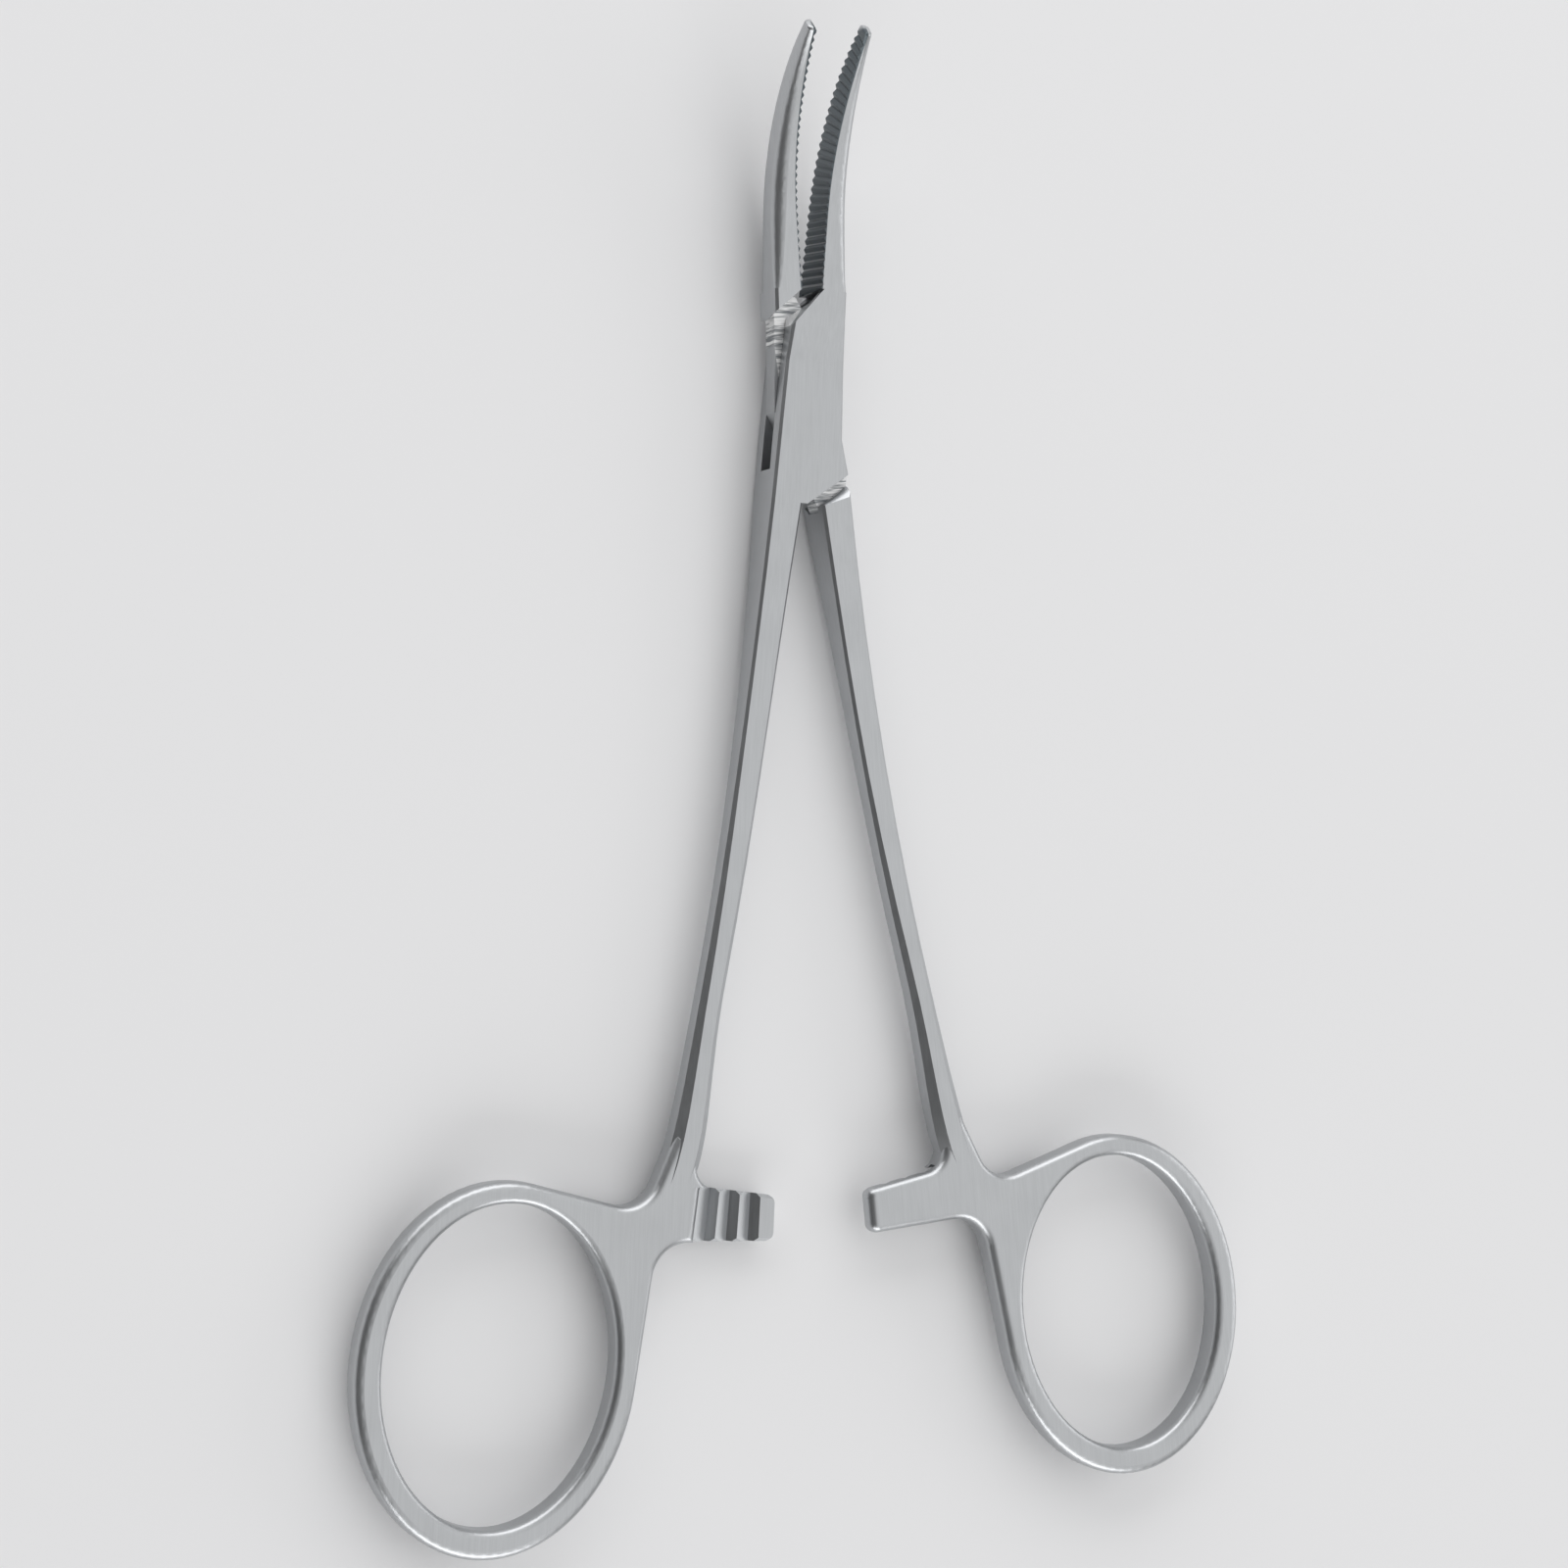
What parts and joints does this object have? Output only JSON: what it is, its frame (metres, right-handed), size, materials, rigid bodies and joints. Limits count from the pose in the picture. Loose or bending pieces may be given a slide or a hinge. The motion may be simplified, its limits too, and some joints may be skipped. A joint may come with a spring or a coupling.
{
  "type": "hemostat forceps",
  "caption": "Curved hemostat forceps: two branches crossing in a box lock, serrated jaws, finger rings and a ratchet that holds the jaws closed on a vessel.",
  "frame": {"origin": "pin axis at the back face of the lock, with the forceps lying on its back", "axes": "+Z is the pin axis, towards the side that the tips bend to; +Y runs towards the tips; +X is to the right, seen from the front"},
  "size_m": [0.0796, 0.1196, 0.0111],
  "materials": {
    "box_branch_steel": "satin stainless steel",
    "tongue_branch_steel": "satin stainless steel",
    "pin_steel": "satin stainless steel, riveted and ground flush"
  },
  "bodies": {
    "box_branch": {"box_branch": "box_branch_steel", "pivot_pin": "pin_steel"},
    "tongue_branch": {"tongue_branch": "tongue_branch_steel"}
  },
  "joints": [
    {"name": "box_lock", "type": "hinge", "parent": "box_branch", "child": "tongue_branch", "pos_m": [0, 0, 0.0021], "axis": [0, 0, 1], "range_deg": [-8.6, 52]}
  ]
}
